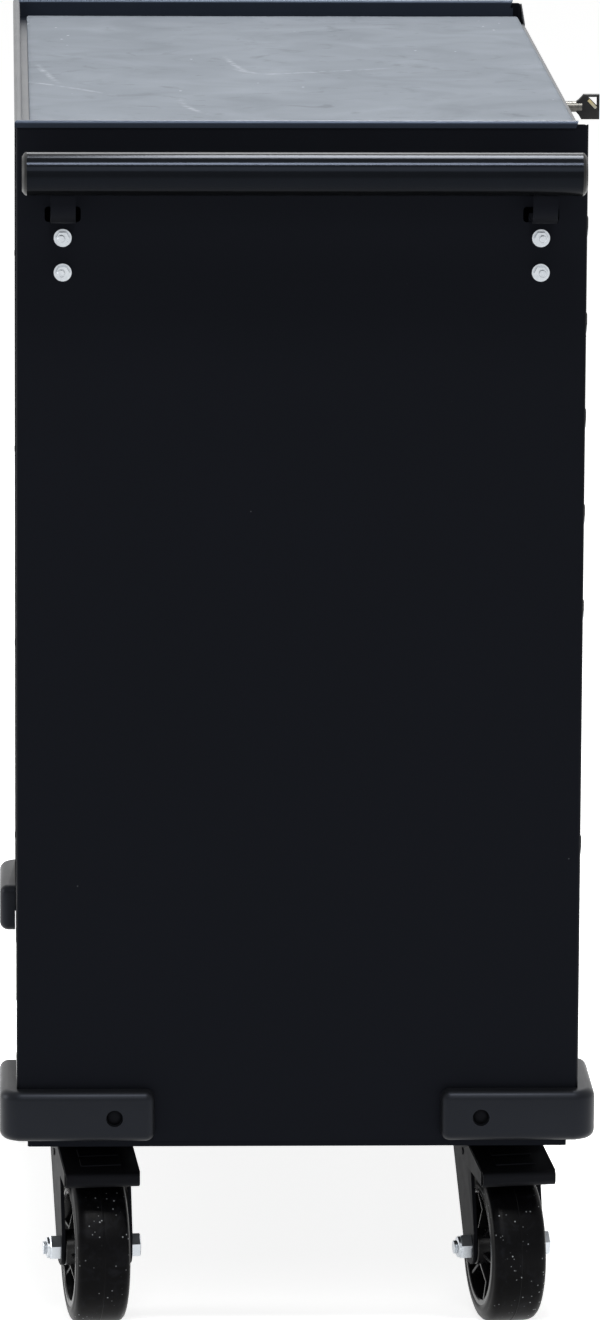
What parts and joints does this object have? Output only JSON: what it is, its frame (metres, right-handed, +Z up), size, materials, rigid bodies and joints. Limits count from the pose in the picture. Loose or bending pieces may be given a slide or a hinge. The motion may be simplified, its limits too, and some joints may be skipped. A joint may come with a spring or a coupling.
{
  "type": "rolling tool cabinet",
  "caption": "Steel tool cabinet on swivel and fixed casters, with full-width drawers, a matted worktop tray, a keyed lock, corner bumpers and a side push handle.",
  "frame": {"origin": "on the floor, in the middle of the whole footprint from handle to bumpers and from key to bumpers", "axes": "+X across the width, away from the handle; +Y towards the back, so the drawers open along -Y; +Z up"},
  "size_m": [1.0026, 0.514, 1.011],
  "materials": {
    "case_paint": "near-black powder coat",
    "tray_paint": "near-black powder coat, satin hem",
    "front_paint": "near-black powder coat",
    "mat_foam": "grey foam mat, matt",
    "liner_foam": "dark foam sheet, matt",
    "zinc_steel": "bright zinc-plated steel",
    "black_steel": "black electro-coated pressed steel",
    "chrome_trim": "chrome plate",
    "pull_aluminium": "satin anodised",
    "black_plastic": "black moulded plastic",
    "bumper_plastic": "black soft plastic",
    "wheel_rubber": "dark grey rubber on a moulded core"
  },
  "bodies": {
    "cabinet": {"back_panel": "case_paint", "base_pan": "case_paint", "corner_bumpers": "bumper_plastic", "front_rail_bottom": "case_paint", "front_rail_top": "case_paint", "handle_arms": "case_paint", "handle_end_caps": "black_plastic", "handle_fasteners": "zinc_steel", "handle_tube": "case_paint", "lock_guides": "black_plastic", "lock_housing": "chrome_trim", "rigid_axles": "zinc_steel", "rigid_forks": "black_steel", "side_panel_left": "case_paint", "side_panel_right": "case_paint", "slide_outer_members": "zinc_steel", "slide_uprights": "zinc_steel", "swivel_plates": "black_steel", "top_mat": "mat_foam", "top_tray": "tray_paint"},
    "drawer_1": {"drawer_1_box": "front_paint", "drawer_1_pull": "pull_aluminium", "drawer_1_liner": "liner_foam"},
    "drawer_1_slides": {"drawer_1_slides": "zinc_steel"},
    "drawer_2": {"drawer_2_box": "front_paint", "drawer_2_pull": "pull_aluminium", "drawer_2_liner": "liner_foam"},
    "drawer_2_slides": {"drawer_2_slides": "zinc_steel"},
    "drawer_3": {"drawer_3_box": "front_paint", "drawer_3_pull": "pull_aluminium", "drawer_3_liner": "liner_foam"},
    "drawer_3_slides": {"drawer_3_slides": "zinc_steel"},
    "drawer_4": {"drawer_4_box": "front_paint", "drawer_4_pull": "pull_aluminium", "drawer_4_liner": "liner_foam"},
    "drawer_4_slides": {"drawer_4_slides": "zinc_steel"},
    "drawer_5": {"drawer_5_box": "front_paint", "drawer_5_pull": "pull_aluminium", "drawer_5_liner": "liner_foam"},
    "drawer_5_slides": {"drawer_5_slides": "zinc_steel"},
    "drawer_6": {"drawer_6_box": "front_paint", "drawer_6_pull": "pull_aluminium", "drawer_6_liner": "liner_foam"},
    "drawer_6_slides": {"drawer_6_slides": "zinc_steel"},
    "lock_plug": {"lock_plug": "chrome_trim", "lock_rod": "zinc_steel"},
    "lock_bar": {"lock_bar": "zinc_steel"},
    "key": {"key": "black_plastic"},
    "swivel_fork_front": {"swivel_fork_front": "black_steel", "swivel_axle_front": "zinc_steel"},
    "brake_pedal_front": {"brake_pedal_front": "black_steel"},
    "swivel_wheel_front": {"swivel_wheel_front": "wheel_rubber"},
    "rigid_wheel_front": {"rigid_wheel_front": "wheel_rubber"},
    "swivel_fork_rear": {"swivel_fork_rear": "black_steel", "swivel_axle_rear": "zinc_steel"},
    "brake_pedal_rear": {"brake_pedal_rear": "black_steel"},
    "swivel_wheel_rear": {"swivel_wheel_rear": "wheel_rubber"},
    "rigid_wheel_rear": {"rigid_wheel_rear": "wheel_rubber"}
  },
  "joints": [
    {"name": "drawer_1_travel", "type": "slide", "parent": "cabinet", "child": "drawer_1", "axis": [0, -1, 0], "range_m": [0, 0.4]},
    {"name": "drawer_1_slides_travel", "type": "slide", "parent": "cabinet", "child": "drawer_1_slides", "axis": [0, -1, 0], "range_m": [0, 0.2]},
    {"name": "drawer_2_travel", "type": "slide", "parent": "cabinet", "child": "drawer_2", "axis": [0, -1, 0], "range_m": [0, 0.4]},
    {"name": "drawer_2_slides_travel", "type": "slide", "parent": "cabinet", "child": "drawer_2_slides", "axis": [0, -1, 0], "range_m": [0, 0.2]},
    {"name": "drawer_3_travel", "type": "slide", "parent": "cabinet", "child": "drawer_3", "axis": [0, -1, 0], "range_m": [0, 0.4]},
    {"name": "drawer_3_slides_travel", "type": "slide", "parent": "cabinet", "child": "drawer_3_slides", "axis": [0, -1, 0], "range_m": [0, 0.2]},
    {"name": "drawer_4_travel", "type": "slide", "parent": "cabinet", "child": "drawer_4", "axis": [0, -1, 0], "range_m": [0, 0.4]},
    {"name": "drawer_4_slides_travel", "type": "slide", "parent": "cabinet", "child": "drawer_4_slides", "axis": [0, -1, 0], "range_m": [0, 0.2]},
    {"name": "drawer_5_travel", "type": "slide", "parent": "cabinet", "child": "drawer_5", "axis": [0, -1, 0], "range_m": [0, 0.4]},
    {"name": "drawer_5_slides_travel", "type": "slide", "parent": "cabinet", "child": "drawer_5_slides", "axis": [0, -1, 0], "range_m": [0, 0.2]},
    {"name": "drawer_6_travel", "type": "slide", "parent": "cabinet", "child": "drawer_6", "axis": [0, -1, 0], "range_m": [0, 0.4]},
    {"name": "drawer_6_slides_travel", "type": "slide", "parent": "cabinet", "child": "drawer_6_slides", "axis": [0, -1, 0], "range_m": [0, 0.2]},
    {"name": "lock_turn", "type": "hinge", "parent": "cabinet", "child": "lock_plug", "pos_m": [0.03025, -0.217, 0.968], "axis": [0, 1, 0], "range_deg": [0, 90]},
    {"name": "lock_bar_lift", "type": "slide", "parent": "cabinet", "child": "lock_bar", "axis": [0, 0, 1], "range_m": [0, 0.01414]},
    {"name": "key_pull", "type": "slide", "parent": "lock_plug", "child": "key", "axis": [0, -1, 0], "range_m": [0, 0.03]},
    {"name": "swivel_front", "type": "hinge", "parent": "cabinet", "child": "swivel_fork_front", "pos_m": [-0.32175, -0.156, 0.152], "axis": [0, 0, 1], "continuous": true},
    {"name": "pedal_front", "type": "hinge", "parent": "swivel_fork_front", "child": "brake_pedal_front", "pos_m": [-0.33554, -0.15843, 0.14], "axis": [0.1736, -0.9848, 0], "range_deg": [0, 8.5]},
    {"name": "swivel_wheel_front_roll", "type": "hinge", "parent": "swivel_fork_front", "child": "swivel_wheel_front", "pos_m": [-0.35622, -0.16208, 0.0635], "axis": [-0.1736, 0.9848, 0], "continuous": true},
    {"name": "rigid_wheel_front_roll", "type": "hinge", "parent": "cabinet", "child": "rigid_wheel_front", "pos_m": [0.38225, -0.156, 0.0635], "axis": [0, 1, 0], "continuous": true},
    {"name": "swivel_rear", "type": "hinge", "parent": "cabinet", "child": "swivel_fork_rear", "pos_m": [-0.32175, 0.182, 0.152], "axis": [0, 0, 1], "continuous": true},
    {"name": "pedal_rear", "type": "hinge", "parent": "swivel_fork_rear", "child": "brake_pedal_rear", "pos_m": [-0.33566, 0.18039, 0.14], "axis": [0.1149, -0.9934, 0], "range_deg": [0, 8.5]},
    {"name": "swivel_wheel_rear_roll", "type": "hinge", "parent": "swivel_fork_rear", "child": "swivel_wheel_rear", "pos_m": [-0.35652, 0.17798, 0.0635], "axis": [-0.1149, 0.9934, 0], "continuous": true},
    {"name": "rigid_wheel_rear_roll", "type": "hinge", "parent": "cabinet", "child": "rigid_wheel_rear", "pos_m": [0.38225, 0.182, 0.0635], "axis": [0, 1, 0], "continuous": true}
  ],
  "couplings": [
    {"joint": "drawer_1_slides_travel", "follows": "drawer_1_travel", "ratio": 0.5},
    {"joint": "drawer_2_slides_travel", "follows": "drawer_2_travel", "ratio": 0.5},
    {"joint": "drawer_3_slides_travel", "follows": "drawer_3_travel", "ratio": 0.5},
    {"joint": "drawer_4_slides_travel", "follows": "drawer_4_travel", "ratio": 0.5},
    {"joint": "drawer_5_slides_travel", "follows": "drawer_5_travel", "ratio": 0.5},
    {"joint": "drawer_6_slides_travel", "follows": "drawer_6_travel", "ratio": 0.5},
    {"joint": "lock_turn", "follows": "lock_bar_lift", "rad_per_m": 111.07}
  ]
}
